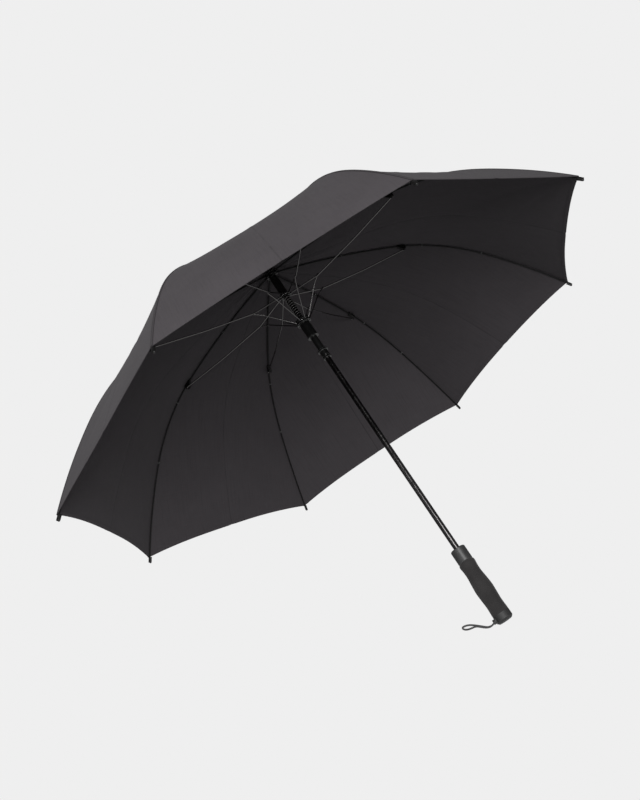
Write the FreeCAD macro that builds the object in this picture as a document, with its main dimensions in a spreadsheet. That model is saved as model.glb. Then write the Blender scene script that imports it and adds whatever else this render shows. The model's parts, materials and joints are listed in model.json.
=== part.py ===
"""Golf umbrella: eight-rib stick umbrella with an automatic-opening runner pair.

Origin at the centre of the handle's flat end face, +Z up the shaft to the ferrule.
Rib 1 lies along +X, and the ribs follow every 45 degrees anticlockwise from above.
Heights along the shaft are measured up from the handle's end face.
"""
import FreeCAD, Part
import math
import os
import Sketcher

V = FreeCAD.Vector
Z_AXIS = V(0, 0, 1)
RIBS = 8
RIB_STEP = 360.0 / RIBS
ARC_POINTS = 4        # points taken on each arc of a rib for the canopy's line
LINE_POINTS = 14      # spans of the canopy's line from the crown to the hem
HALVINGS = 40         # steps that find where the line reaches a radius
BEND_PULL = 0.4       # how far a free bend keeps its first direction, as a share of its span
DIAGONAL = math.sqrt(0.5)

DIMS = {
    # shaft
    "tube_r": 6, "tube_bore_r": 5.3, "tube_bottom": 12, "tube_top": 888,
    # top notch, which carries the rib ends, and its pin
    "notch_r": 12.6, "notch_bottom": 850.5, "notch_top": 863.5, "notch_bore_r": 6.06,
    "notch_lip_r": 8.2, "notch_lip_bottom": 864.5,
    "rib_pivot_r": 10.5, "rib_pivot_up": 857, "rib_slot_width": 2.5, "rib_slot_floor": 7.8,
    "rib_slot_top": 861, "ring_wire_r": 0.6, "ring_groove": 0.75, "pin_r": 1.2,
    "pin_hole_r": 1.25, "pin_length": 15.2, "pin_up": 852.8,
    # how far a cut runs past the surface it opens
    "cut_clear": 2,
    # ferrule and fabric cap above the canopy
    "cap_r": 15, "cap_edge_r": 16, "cap_bottom": 866.2, "cap_rim_up": 867,
    "cap_shoulder_r": 14, "cap_shoulder_up": 869, "cap_dome_r": 10, "cap_dome_up": 873,
    "cap_top": 874,
    "ferrule_r": 7, "ferrule_base_r": 8.5, "ferrule_bottom": 874.1, "ferrule_step_up": 880,
    "ferrule_shoulder_up": 884, "ferrule_top": 936, "ferrule_nose_r": 4.2, "ferrule_nose_up": 933,
    "ferrule_bore_r": 6.05, "ferrule_bore_top": 889,
    # upper runner with its long sleeve
    "sleeve_r": 8.9, "sleeve_bore_r": 8, "slide_bore_r": 6.1, "sleeve_top": 847.5,
    "sleeve_seat": 838, "upper_head_r": 12.4, "upper_head_top": 799, "upper_head_bottom": 791,
    "upper_ring_r": 11.78, "stretcher_pivot_r": 10.8, "upper_pivot_up": 795,
    "upper_slot_width": 3.3, "upper_slot_floor": 8.7,
    # lower runner with its catch end
    "lower_head_r": 16.2, "lower_head_top": 728, "lower_head_bottom": 718,
    "lower_ring_r": 14.61, "strut_pivot_r": 14.5, "lower_pivot_up": 723,
    "lower_slot_width": 2.5, "lower_slot_floor": 12.2, "barrel_r": 11.35,
    "barrel_bottom": 681, "barrel_lip_r": 12.3, "barrel_lip_top": 683.2,
    "barrel_bore_r": 8, "barrel_seat": 686,
    "neck_r": 7.4, "neck_bottom": 648, "flange_r": 11.5, "flange_top": 645.5,
    "flange_bottom": 642.5, "catch_r": 8.75, "catch_bottom": 624.5, "catch_window_up": 626.4,
    "catch_window_height": 4.6, "catch_window_width": 7,
    # main spring between the runners
    "spring_r": 7.02, "spring_wire_r": 0.9, "spring_bottom": 687.2, "spring_top": 836.8,
    "spring_pitch": 5.7,
    # rib: one arc to the joint, then two arcs to the tip
    "rib_rod_r": 1.8, "rib_arc": 1567, "rib_end_r": 300, "rib_end_up": 804.6,
    "rib_eye_r": 2.2, "rib_eye_width": 2.1, "ring_eye_hole_r": 0.8, "rib_eye_trim": 6,
    "rib_flat_end_r": 18.5,
    "knee_r": 308, "knee_up": 802.2, "knee_eye_r": 2.2, "rod_r": 1.6,
    "bend_r": 470, "bend_up": 705, "knee_arc": 450, "tip_r": 606, "tip_up": 550.6,
    "tip_arc": 1098, "tip_cap_r": 2.5, "tip_cap_length": 12, "tip_cap_back": 7.9,
    "tip_bore_r": 1.66, "tip_bore_depth": 8.1,
    # bracket that joins rib, flexible end and stretcher
    "bracket_width": 6.4, "channel_width": 4.0, "channel_start_r": 302, "channel_clear": 9,
    "bracket_back_r": 294, "bracket_back_top": 808.4, "bracket_back_low": 803.6,
    "bracket_ear_r": 303, "bracket_low": 793.4, "bracket_toe_r": 309.6,
    "bracket_nose_r": 311.4, "bracket_nose_up": 801.2, "bracket_brow_r": 310.6,
    "bracket_brow_up": 803.8, "joint_r": 307, "joint_up": 796,
    "rivet_r": 1.0, "rivet_hole_r": 1.05, "rivet_head_r": 1.8, "rivet_head": 0.9,
    # stretcher wire, offset sideways so that it lies beside the rib
    "stretcher_wire_r": 1.4, "stretcher_side": 4.7, "stretcher_bow_r": 195,
    "stretcher_bow_up": 786.2, "eye_r": 2.1, "wide_eye_hole_r": 1.4,
    "stretcher_eye_width": 2.7, "rivet_side": 6.4,
    # short strut from the lower runner to the stretcher
    "strut_wire_r": 1.15, "strut_side": 1.8, "strut_joint_r": 84, "strut_joint_up": 781.6,
    "elbow_r": 66, "elbow_up": 770.3, "strut_pin_r": 1.2, "strut_pin_length": 1.4,
    "strut_pin_mid": 2.5, "strut_eye_width": 1.9, "strut_eye_r": 1.9,
    # canopy fabric
    "fabric": 1.0, "fabric_gap": 3.2, "canopy_hole_r": 9, "canopy_hole_up": 864.8,
    "corner_r": 605, "hem_mid_r": 588, "gore_sag": 3,
    # handle
    "core_r": 11.4, "core_bore_r": 6.06, "core_bottom": 8, "grip_bottom": 16, "grip_top": 128,
    "grip_bore_r": 11.45, "grip_end_r": 16.8, "grip_low_r": 16, "grip_low_up": 36,
    "grip_bulge_r": 17.7, "grip_bulge_up": 68, "grip_waist_r": 14.9, "grip_waist_up": 102,
    "grip_shoulder_up": 124, "grip_shoulder_r": 16.2, "grip_lip_r": 14,
    "collar_r": 14.9, "collar_bottom": 128.1, "collar_top": 157, "collar_chamfer": 1.5,
    "collar_cavity_r": 12.4, "cavity_bottom": 130, "cavity_top": 151, "collar_mouth_r": 9.2,
    "post_r": 7.3, "post_top": 139,
    "cap_end_r": 16.8, "cap_end_round": 3.5, "cap_end_top": 15.9, "cap_plug_r": 11.4,
    "cap_plug_top": 7.9, "lug_reach": 22.2, "lug_root_r": 12.4, "lug_width": 4.6,
    "lug_bottom": 4, "lug_height": 9,
    "lug_hole_at": 19.4, "lug_hole_up": 8.5, "lug_hole_r": 1.6,
    # release button: slider plate round the catch, with a nose on the far side
    "plate_in_r": 8.95, "plate_wall": 1.1, "press_travel": 2.2, "button_up": 146.5,
    "plate_thick": 3, "nose_width": 6, "nose_reach": 6.4, "nose_root": 9.65, "button_r": 4.5,
    "button_hole_r": 4.65, "button_out": 16.4, "leg_width": 4.4, "leg_thick": 0.9,
    "leg_bottom": 132.5, "fuse_overlap": 0.5, "return_spring_r": 1.7, "return_wire_r": 0.25,
    "return_pitch": 1.1, "return_up": 135.5, "return_start": 7.7, "return_end": 10.8,
    # wrist cord
    "cord_r": 1.25, "cord_gap": 4.4, "cord_bend_r": 2.4, "cord_neck": 13, "cord_strand": 2.0,
    "cord_loop_at": 40, "cord_loop_r": 5, "cord_reach": 62, "cord_rise": 20, "cord_join": 0.1,
}


def open_document():
    """A new document with every driving dimension as an aliased cell."""
    doc = FreeCAD.newDocument("golf_umbrella")
    sheet = doc.addObject("Spreadsheet::Sheet", "Dims")
    for row, (alias, number) in enumerate(DIMS.items(), start=1):
        sheet.set(f"A{row}", alias)
        sheet.set(f"B{row}", str(number))
        sheet.setAlias(f"B{row}", alias)
    doc.recompute()
    return doc, sheet


doc, sheet = open_document()


def size(formula):
    """The number that a sum of cells stands for, such as 'tube_r + 0.5'."""
    total = 0.0
    sign = 1
    for word in formula.split():
        if word in "+-":
            sign = 1 if word == "+" else -1
        elif word[0].isdigit():
            total += sign * float(word)
        else:
            total += sign * sheet.get(word)
    return total


def bound(formula):
    """The same sum, as an expression on the sheet's cells."""
    words = formula.split()
    return " ".join(w if w in "+-" or w[0].isdigit() else f"Dims.{w}" for w in words)


def plane(body, role):
    return [f for f in body.Origin.OriginFeatures if f.Role == role][0]


def new_body(name):
    body = doc.addObject("PartDesign::Body", name)
    body.Label = name
    return body


def new_sketch(body, name, role="XZ_Plane", offset=None):
    sketch = body.newObject("Sketcher::SketchObject", name)
    sketch.AttachmentSupport = [(plane(body, role), "")]
    sketch.MapMode = "FlatFace"
    if offset is not None:
        sketch.AttachmentOffset = offset
    return sketch


def hold(sketch, geo, end, across, up):
    """Fix a point of a sketch at two sums of cells, or on an axis where a sum is '0'."""
    for kind, formula, axis in (("DistanceX", across, -2), ("DistanceY", up, -1)):
        if formula == "0":
            sketch.addConstraint(Sketcher.Constraint("PointOnObject", geo, end, axis))
        else:
            c = sketch.addConstraint(Sketcher.Constraint(kind, -1, 1, geo, end, size(formula)))
            sketch.setExpression(f"Constraints[{c}]", bound(formula))


def outline(sketch, corners):
    """A closed outline of straight sides through corners given as sums of cells."""
    count = len(corners)
    places = [V(size(a), size(b), 0) for a, b in corners]
    for i in range(count):
        sketch.addGeometry(Part.LineSegment(places[i], places[(i + 1) % count]))
    for i in range(count):
        sketch.addConstraint(Sketcher.Constraint("Coincident", i, 2, (i + 1) % count, 1))
    for i, (across, up) in enumerate(corners):
        hold(sketch, i, 1, across, up)


def ring_shape(sketch, across, up, radius):
    """A circle held at its centre, with its radius bound to a cell."""
    geo = sketch.addGeometry(Part.Circle(V(size(across), size(up), 0), Z_AXIS, size(radius)))
    hold(sketch, geo, 3, across, up)
    c = sketch.addConstraint(Sketcher.Constraint("Radius", geo, size(radius)))
    sketch.setExpression(f"Constraints[{c}]", bound(radius))


def turned(name, corners):
    """A body turned about the Z axis from an outline of (radius, height) corners."""
    body = new_body(name)
    sketch = new_sketch(body, name + "_profile")
    outline(sketch, corners)
    turn = body.newObject("PartDesign::Revolution", name + "_turn")
    turn.Profile = sketch
    turn.ReferenceAxis = (sketch, ["V_Axis"])
    turn.Angle = 360
    return body


def sideways(side):
    """Moves a sketch on the XZ plane to y = side; that plane's normal is -Y."""
    return FreeCAD.Placement(V(0, 0, -size(side)), FreeCAD.Rotation())


def slab(body, name, kind, draw, width, side="0"):
    """Pad or pocket a side-view sketch by a width, centred on y = side."""
    sketch = new_sketch(body, name + "_sketch", offset=sideways(side))
    draw(sketch)
    feature = body.newObject("PartDesign::" + kind, name)
    feature.Profile = sketch
    feature.Length = size(width)
    feature.setExpression("Length", bound(width))
    feature.SideType = "Symmetric"
    return feature


def window(low_r, high_r, low_up, high_up):
    """Draws a rectangle between two radii and two heights."""
    corners = [(low_r, low_up), (high_r, low_up), (high_r, high_up), (low_r, high_up)]
    return lambda sketch: outline(sketch, corners)


def disc(across, up, radius):
    return lambda sketch: ring_shape(sketch, across, up, radius)


def repeat_round(body, feature, count):
    """Repeat a feature about the Z axis and make the pattern the body's result."""
    pattern = body.newObject("PartDesign::PolarPattern", feature.Name + "_round")
    pattern.Originals = [feature]
    pattern.Axis = (plane(body, "Z_Axis"), [""])
    pattern.Angle = 360
    pattern.Occurrences = count
    body.Tip = pattern


def slots(body, name, floor, edge, low_up, high_up, width, side="0"):
    """Eight radial slots, which hold the eyes of the ribs or stretchers."""
    cut = slab(body, name, "Pocket", window(floor, edge, low_up, high_up), width, side)
    repeat_round(body, cut, RIBS)


def arc_between(start, end, radius):
    """Centre and angles of an upward-bulging arc whose start lies nearer the shaft."""
    half = (end - start) * 0.5
    drop = math.sqrt(radius ** 2 - half.Length ** 2)
    across = V(half.y, -half.x, 0).normalize()
    centre = start + half + across * drop
    first = math.atan2(end.y - centre.y, end.x - centre.x)
    last = math.atan2(start.y - centre.y, start.x - centre.x)
    return centre, first, last


def path(sketch, points, radii):
    """A chain of arcs, or of straight runs where the radius is None."""
    places = [V(size(a), size(b), 0) for a, b in points]
    for i, radius in enumerate(radii):
        if radius is None:
            geo = sketch.addGeometry(Part.LineSegment(places[i + 1], places[i]))
        else:
            centre, first, last = arc_between(places[i], places[i + 1], size(radius))
            circle = Part.Circle(centre, Z_AXIS, size(radius))
            geo = sketch.addGeometry(Part.ArcOfCircle(circle, first, last))
            c = sketch.addConstraint(Sketcher.Constraint("Radius", geo, size(radius)))
            sketch.setExpression(f"Constraints[{c}]", bound(radius))
        hold(sketch, geo, 1, *points[i + 1])
        hold(sketch, geo, 2, *points[i])


def start_direction(points, radii):
    """The direction in which a path leaves its first point."""
    start = V(size(points[0][0]), size(points[0][1]), 0)
    end = V(size(points[1][0]), size(points[1][1]), 0)
    if radii[0] is None:
        return start, (end - start).normalize()
    centre = arc_between(start, end, size(radii[0]))[0]
    spoke = start - centre
    return start, V(spoke.y, -spoke.x, 0).normalize()


def wire(body, name, points, radii, thickness, side="0"):
    """A round wire along a path in the body's XZ plane, shifted to y = side."""
    spine = new_sketch(body, name + "_path", offset=sideways(side))
    path(spine, points, radii)
    start, ahead = start_direction(points, radii)
    turn = FreeCAD.Rotation(Z_AXIS, V(ahead.x, 0, ahead.y))
    place = FreeCAD.Placement(V(start.x, size(side), start.y), turn)
    section = new_sketch(body, name + "_section", "XY_Plane", place)
    ring_shape(section, "0", "0", thickness)
    doc.recompute()
    pipe = body.newObject("PartDesign::AdditivePipe", name)
    pipe.Profile = section
    pipe.Spine = (spine, [f"Edge{i + 1}" for i in range(len(radii))])
    return pipe


def turn_to(feature, number):
    """Carry a rib, stretcher or strut from the +X direction to its own rib."""
    feature.Placement = FreeCAD.Placement(V(), FreeCAD.Rotation(Z_AXIS, RIB_STEP * (number - 1)))


def shaft():
    tube = turned("shaft_tube", [
        ("tube_bore_r", "tube_bottom"), ("tube_r", "tube_bottom"),
        ("tube_r", "tube_top"), ("tube_bore_r", "tube_top")])
    slab(tube, "tube_pin_hole", "Pocket", disc("0", "pin_up", "pin_hole_r"), "tube_r + tube_r + cut_clear")


def notch_pin():
    pin = new_body("notch_pin")
    slab(pin, "pin_rod", "Pad", disc("0", "pin_up", "pin_r"), "pin_length")


def notch():
    body = turned("top_notch", [
        ("notch_bore_r", "notch_bottom"), ("notch_r", "notch_bottom"),
        ("notch_r", "rib_pivot_up - ring_groove"),
        ("rib_pivot_r - ring_groove", "rib_pivot_up - ring_groove"),
        ("rib_pivot_r - ring_groove", "rib_pivot_up + ring_groove"),
        ("notch_r", "rib_pivot_up + ring_groove"), ("notch_r", "notch_top"),
        ("notch_lip_r", "notch_top"), ("notch_lip_r", "notch_lip_bottom"),
        ("notch_bore_r", "notch_lip_bottom")])
    slots(body, "rib_slot", "rib_slot_floor", "notch_r + cut_clear",
          "notch_bottom - cut_clear", "rib_slot_top", "rib_slot_width")
    slab(body, "notch_pin_hole", "Pocket", disc("0", "pin_up", "pin_hole_r"),
         "notch_r + notch_r + cut_clear")


def ring(name, radius, up):
    """A tie wire bent into a ring, which strings the eyes of eight ribs or wires."""
    body = new_body(name)
    section = new_sketch(body, name + "_section")
    ring_shape(section, radius, up, "ring_wire_r")
    turn = body.newObject("PartDesign::Revolution", name + "_turn")
    turn.Profile = section
    turn.ReferenceAxis = (section, ["V_Axis"])
    turn.Angle = 360


def ferrule():
    turned("top_cap", [
        ("ferrule_bore_r", "cap_bottom"), ("cap_r", "cap_bottom"), ("cap_edge_r", "cap_rim_up"),
        ("cap_shoulder_r", "cap_shoulder_up"), ("cap_dome_r", "cap_dome_up"),
        ("ferrule_base_r", "cap_top"), ("ferrule_bore_r", "cap_top")])
    turned("ferrule", [
        ("ferrule_bore_r", "ferrule_bottom"), ("ferrule_base_r", "ferrule_bottom"),
        ("ferrule_base_r", "ferrule_step_up"), ("ferrule_r", "ferrule_shoulder_up"),
        ("ferrule_r", "ferrule_nose_up"), ("ferrule_nose_r", "ferrule_top"),
        ("0", "ferrule_top"), ("0", "ferrule_bore_top"), ("ferrule_bore_r", "ferrule_bore_top")])


def upper_runner():
    body = turned("upper_runner", [
        ("slide_bore_r", "sleeve_seat"), ("slide_bore_r", "sleeve_top"),
        ("sleeve_r", "sleeve_top"), ("sleeve_r", "upper_head_top"),
        ("upper_head_r", "upper_head_top"), ("upper_head_r", "upper_pivot_up + ring_groove"),
        ("upper_ring_r - ring_groove", "upper_pivot_up + ring_groove"),
        ("upper_ring_r - ring_groove", "upper_pivot_up - ring_groove"),
        ("upper_head_r", "upper_pivot_up - ring_groove"), ("upper_head_r", "upper_head_bottom"),
        ("sleeve_bore_r", "upper_head_bottom"), ("sleeve_bore_r", "sleeve_seat")])
    slots(body, "stretcher_slot", "upper_slot_floor", "upper_head_r + cut_clear",
          "upper_head_bottom - cut_clear", "upper_head_top + cut_clear", "upper_slot_width",
          "stretcher_side")


def lower_runner():
    body = turned("lower_runner", [
        ("barrel_bore_r", "lower_head_top"), ("lower_head_r", "lower_head_top"),
        ("lower_head_r", "lower_pivot_up + ring_groove"),
        ("lower_ring_r - ring_groove", "lower_pivot_up + ring_groove"),
        ("lower_ring_r - ring_groove", "lower_pivot_up - ring_groove"),
        ("lower_head_r", "lower_pivot_up - ring_groove"), ("lower_head_r", "lower_head_bottom"),
        ("barrel_r", "lower_head_bottom"), ("barrel_r", "barrel_lip_top"),
        ("barrel_lip_r", "barrel_lip_top"), ("barrel_lip_r", "barrel_bottom"),
        ("neck_r", "barrel_bottom"),
        ("neck_r", "neck_bottom"), ("flange_r", "flange_top"), ("flange_r", "flange_bottom"),
        ("catch_r", "flange_bottom"), ("catch_r", "catch_bottom"),
        ("slide_bore_r", "catch_bottom"), ("slide_bore_r", "barrel_seat"),
        ("barrel_bore_r", "barrel_seat")])
    slots(body, "strut_slot", "lower_slot_floor", "lower_head_r + cut_clear",
          "lower_head_bottom - cut_clear", "lower_head_top + cut_clear", "lower_slot_width",
          "strut_side")
    slab(body, "catch_window", "Pocket",
         window("0", "catch_r + cut_clear", "catch_window_up",
                "catch_window_up + catch_window_height"), "catch_window_width")
    repeat_round(body, body.Tip, 4)


def coil(name, radius, wire_r, low, high, pitch):
    """A round-wire coil spring about the Z axis between two heights."""
    body = new_body(name)
    section = new_sketch(body, name + "_section")
    ring_shape(section, radius, low, wire_r)
    helix = body.newObject("PartDesign::AdditiveHelix", name + "_coils")
    helix.Profile = section
    helix.ReferenceAxis = (section, ["V_Axis"])
    helix.Mode = "pitch-height-angle"
    helix.Pitch = size(pitch)
    helix.setExpression("Pitch", bound(pitch))
    helix.Height = size(high) - size(low)
    helix.setExpression("Height", bound(high) + " - " + bound(low))
    return body


def rib_inner(number):
    name = f"rib_inner_{number}"
    body = new_body(name)
    wire(body, name + "_rod", [("rib_pivot_r", "rib_pivot_up"), ("rib_end_r", "rib_end_up")],
         ["rib_arc"], "rib_rod_r")
    slab(body, name + "_flat", "Pad", disc("rib_pivot_r", "rib_pivot_up", "rib_eye_r"),
         "rib_eye_width")
    for side in ("rib_eye_width", "0 - rib_eye_width"):
        slab(body, name + "_trim", "Pocket",
             window("rib_pivot_r - rib_eye_trim", "rib_flat_end_r", "rib_pivot_up - rib_eye_trim",
                    "rib_pivot_up + rib_eye_trim"), "rib_eye_width", side)
    slab(body, name + "_eye", "Pocket", disc("rib_pivot_r", "rib_pivot_up", "ring_eye_hole_r"),
         "bracket_width")
    side_view = [
        ("bracket_back_r", "bracket_back_top"), ("bracket_back_r", "bracket_back_low"),
        ("bracket_ear_r", "bracket_low"), ("bracket_toe_r", "bracket_low"),
        ("bracket_nose_r", "bracket_nose_up"), ("bracket_brow_r", "bracket_brow_up")]
    slab(body, name + "_bracket", "Pad", lambda sketch: outline(sketch, side_view),
         "bracket_width")
    slab(body, name + "_channel", "Pocket",
         window("channel_start_r", "knee_r + channel_clear", "joint_up - channel_clear",
                "knee_up + channel_clear"), "channel_width")
    slab(body, name + "_knee_pin", "Pad", disc("knee_r", "knee_up", "rivet_r"), "bracket_width")
    slab(body, name + "_joint_hole", "Pocket", disc("joint_r", "joint_up", "rivet_hole_r"),
         "bracket_width + cut_clear")
    turn_to(body, number)


def rib_outer(number):
    """The flexible end of a rib, with the cap that holds the canopy's corner."""
    name = f"rib_outer_{number}"
    rod = new_body(name + "_rod")
    wire(rod, name + "_bow",
         [("knee_r", "knee_up"), ("bend_r", "bend_up"), ("tip_r", "tip_up")],
         ["knee_arc", "tip_arc"], "rod_r")
    slab(rod, name + "_ring", "Pad", disc("knee_r", "knee_up", "knee_eye_r"), "rod_r + rod_r")
    slab(rod, name + "_hole", "Pocket", disc("knee_r", "knee_up", "rivet_hole_r"),
         "bracket_width")
    start = V(size("bend_r"), size("bend_up"), 0)
    end = V(size("tip_r"), size("tip_up"), 0)
    centre = arc_between(start, end, size("tip_arc"))[0]
    spoke = end - centre
    slope = FreeCAD.Rotation(Z_AXIS, V(spoke.y, 0, -spoke.x))
    cap = doc.addObject("Part::Cylinder", name + "_cap_body")
    bore = doc.addObject("Part::Cylinder", name + "_cap_bore")
    back = slope.multVec(V(0, 0, -size("tip_cap_back")))
    cap.setExpression("Radius", "Dims.tip_cap_r")
    cap.setExpression("Height", "Dims.tip_cap_length")
    cap.Placement = FreeCAD.Placement(V(end.x, 0, end.y) + back, slope)
    bore.setExpression("Radius", "Dims.tip_bore_r")
    bore.setExpression("Height", "Dims.tip_bore_depth")
    bore.Placement = cap.Placement
    tip = doc.addObject("Part::Cut", name + "_cap")
    tip.Base = cap
    tip.Tool = bore
    whole = doc.addObject("Part::Compound", name)
    whole.Links = [rod, tip]
    turn_to(whole, number)


def stretcher(number):
    name = f"stretcher_{number}"
    body = new_body(name)
    wire(body, name + "_wire",
         [("stretcher_pivot_r", "upper_pivot_up"), ("strut_joint_r", "strut_joint_up"),
          ("stretcher_bow_r", "stretcher_bow_up"), ("joint_r", "joint_up")],
         [None, None, None], "stretcher_wire_r", "stretcher_side")
    slab(body, name + "_inner_eye", "Pad", disc("stretcher_pivot_r", "upper_pivot_up", "eye_r"),
         "stretcher_eye_width", "stretcher_side")
    slab(body, name + "_inner_hole", "Pocket",
         disc("stretcher_pivot_r", "upper_pivot_up", "wide_eye_hole_r"),
         "stretcher_eye_width + cut_clear", "stretcher_side")
    slab(body, name + "_outer_eye", "Pad", disc("joint_r", "joint_up", "eye_r"),
         "stretcher_eye_width", "stretcher_side")
    slab(body, name + "_rivet", "Pad", disc("joint_r", "joint_up", "rivet_head_r"),
         "rivet_head", "rivet_side")
    turn_to(body, number)


def strut(number):
    name = f"strut_{number}"
    body = new_body(name)
    wire(body, name + "_wire",
         [("strut_pivot_r", "lower_pivot_up"), ("elbow_r", "elbow_up"),
          ("strut_joint_r", "strut_joint_up")],
         [None, None], "strut_wire_r", "strut_side")
    slab(body, name + "_inner_eye", "Pad", disc("strut_pivot_r", "lower_pivot_up", "strut_eye_r"),
         "strut_eye_width", "strut_side")
    slab(body, name + "_inner_hole", "Pocket",
         disc("strut_pivot_r", "lower_pivot_up", "ring_eye_hole_r"),
         "strut_eye_width + cut_clear", "strut_side")
    slab(body, name + "_outer_eye", "Pad", disc("strut_joint_r", "strut_joint_up", "strut_eye_r"),
         "strut_eye_width", "strut_side")
    slab(body, name + "_pin", "Pad", disc("strut_joint_r", "strut_joint_up", "strut_pin_r"),
         "strut_pin_length", "strut_pin_mid")
    turn_to(body, number)


def fabric_line(far_r):
    """Points of the canopy's underside above a rib, from the crown out to a radius."""
    corners = [("rib_pivot_r", "rib_pivot_up"), ("rib_end_r", "rib_end_up"),
               ("bend_r", "bend_up"), ("tip_r", "tip_up")]
    radii = ["rib_arc", "knee_arc", "tip_arc"]
    gap = size("fabric_gap")
    line = [V(size("canopy_hole_r"), size("canopy_hole_up"), 0)]
    for i, radius in enumerate(radii):
        start, end = [V(size(a), size(b), 0) for a, b in corners[i:i + 2]]
        centre, last, first = arc_between(start, end, size(radius))
        for n in range(1, ARC_POINTS + 1):
            angle = first + (last - first) * n / ARC_POINTS
            line.append(centre + V(math.cos(angle), math.sin(angle), 0) * (size(radius) + gap))
    curve = Part.BSplineCurve()
    curve.interpolate(line)
    reach = [curve.FirstParameter, curve.LastParameter]
    for _ in range(HALVINGS):
        middle = (reach[0] + reach[1]) / 2
        reach[curve.value(middle).x > far_r] = middle
    span = (reach[0] - curve.FirstParameter) / LINE_POINTS
    return [curve.value(curve.FirstParameter + span * n) for n in range(LINE_POINTS + 1)]


def spline_at(points, azimuth, inward, sag):
    """A curve through (radius, height) points, stood up at an azimuth about the shaft."""
    line = Part.BSplineCurve()
    turn = FreeCAD.Rotation(Z_AXIS, azimuth)
    last = len(points) - 1
    line.interpolate([turn.multVec(V(p.x * inward, 0, p.y - sag * n / last))
                      for n, p in enumerate(points)])
    return line.toShape()


def gore(number):
    """One triangular canopy panel, sewn between two ribs, with a scalloped hem."""
    ribs = fabric_line(size("corner_r"))
    middle = fabric_line(size("hem_mid_r"))
    first = RIB_STEP * (number - 1)
    curves = [spline_at(ribs, first, 1, 0),
              spline_at(middle, first + RIB_STEP / 2, math.cos(math.radians(RIB_STEP / 2)),
                        size("gore_sag")),
              spline_at(ribs, first + RIB_STEP, 1, 0)]
    skin = Part.makeLoft([Part.Wire(c) for c in curves], False, False)
    panel = doc.addObject("Part::Feature", f"gore_{number}")
    panel.Shape = skin.Faces[0].extrude(V(0, 0, size("fabric")))
    panel.Placement = FreeCAD.Placement()


def handle():
    turned("handle_core", [
        ("core_bore_r", "core_bottom"), ("core_r", "core_bottom"), ("core_r", "grip_top"),
        ("core_bore_r", "grip_top")])
    turned("foam_grip", [
        ("grip_bore_r", "grip_bottom"), ("grip_end_r", "grip_bottom"),
        ("grip_low_r", "grip_low_up"), ("grip_bulge_r", "grip_bulge_up"),
        ("grip_waist_r", "grip_waist_up"), ("grip_shoulder_r", "grip_shoulder_up"),
        ("grip_lip_r", "grip_top"), ("grip_bore_r", "grip_top")])


def end_cap():
    body = turned("end_cap", [
        ("0", "0"), ("cap_end_r - cap_end_round", "0"), ("cap_end_r", "cap_end_round"),
        ("cap_end_r", "cap_end_top"), ("cap_plug_r", "cap_end_top"),
        ("cap_plug_r", "cap_plug_top"), ("0", "cap_plug_top")])
    slab(body, "cord_lug", "Pad",
         window("0 - lug_reach", "0 - lug_root_r", "lug_bottom", "lug_bottom + lug_height"),
         "lug_width")
    slab(body, "cord_hole", "Pocket", disc("0 - lug_hole_at", "lug_hole_up", "lug_hole_r"),
         "lug_width + cut_clear")


def collar():
    body = turned("handle_collar", [
        ("core_bore_r", "collar_bottom"), ("grip_lip_r", "collar_bottom"),
        ("collar_r", "collar_bottom + collar_chamfer"),
        ("collar_r", "collar_top - collar_chamfer"),
        ("collar_r - collar_chamfer", "collar_top"), ("collar_mouth_r", "collar_top"),
        ("collar_mouth_r", "cavity_top"), ("collar_cavity_r", "cavity_top"),
        ("collar_cavity_r", "cavity_bottom"), ("post_r", "cavity_bottom"),
        ("post_r", "post_top"), ("core_bore_r", "post_top")])
    hole = new_sketch(body, "button_hole_sketch")
    ring_shape(hole, "0", "button_up", "button_hole_r")
    cut = body.newObject("PartDesign::Pocket", "button_hole")
    cut.Profile = hole
    cut.Length = size("collar_r + cut_clear")
    cut.setExpression("Length", bound("collar_r + cut_clear"))
    cut.Reversed = False


def push_button():
    """Slider plate round the catch: the button on +Y, the latch nose on -Y."""
    wall = size("plate_in_r") + size("plate_wall")
    inner = size("plate_in_r")
    travel = size("press_travel")
    thick = size("plate_thick")
    low = size("button_up") - thick / 2
    overlap = size("fuse_overlap")

    def long_disc(radius):
        left, right = V(-radius, 0, low), V(radius, 0, low)
        far = V(0, travel, 0)
        rim = Part.Wire([
            Part.Arc(left, V(0, -radius, low), right).toShape(),
            Part.makeLine(right, right + far),
            Part.Arc(right + far, V(0, radius + travel, low), left + far).toShape(),
            Part.makeLine(left + far, left)])
        return Part.Face(rim).extrude(V(0, 0, thick))

    plate = long_disc(wall).cut(long_disc(inner))
    nose_width = size("nose_width")
    reach = size("nose_reach")
    root = size("nose_root")
    nose = Part.makeBox(nose_width, root - reach, thick, V(-nose_width / 2, -root, low))
    stem_start = wall + travel - overlap
    stem = Part.makeCylinder(size("button_r"), size("button_out") - stem_start,
                             V(0, stem_start, size("button_up")), V(0, 1, 0))
    leg_width = size("leg_width")
    leg = Part.makeBox(leg_width, size("leg_thick"), low - size("leg_bottom") + overlap,
                       V(-leg_width / 2, inner + travel, size("leg_bottom")))
    button = doc.addObject("Part::Feature", "push_button")
    button.Shape = plate.fuse([nose, stem, leg])
    button.Placement = FreeCAD.Placement()


def return_spring():
    """Small coil between the collar's post and the button's leg, along Y."""
    start = size("return_start")
    length = size("return_end") - start
    helix = Part.makeHelix(size("return_pitch"), length, size("return_spring_r"))
    section = Part.Wire(Part.makeCircle(size("return_wire_r"), V(size("return_spring_r"), 0, 0),
                                        V(0, 1, 0)))
    spring = doc.addObject("Part::Feature", "button_spring")
    spring.Shape = Part.Wire(helix).makePipeShell([section], True, True)
    along_y = FreeCAD.Rotation(V(1, 0, 0), -90)
    spring.Placement = FreeCAD.Placement(V(0, start, size("return_up")), along_y)


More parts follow.
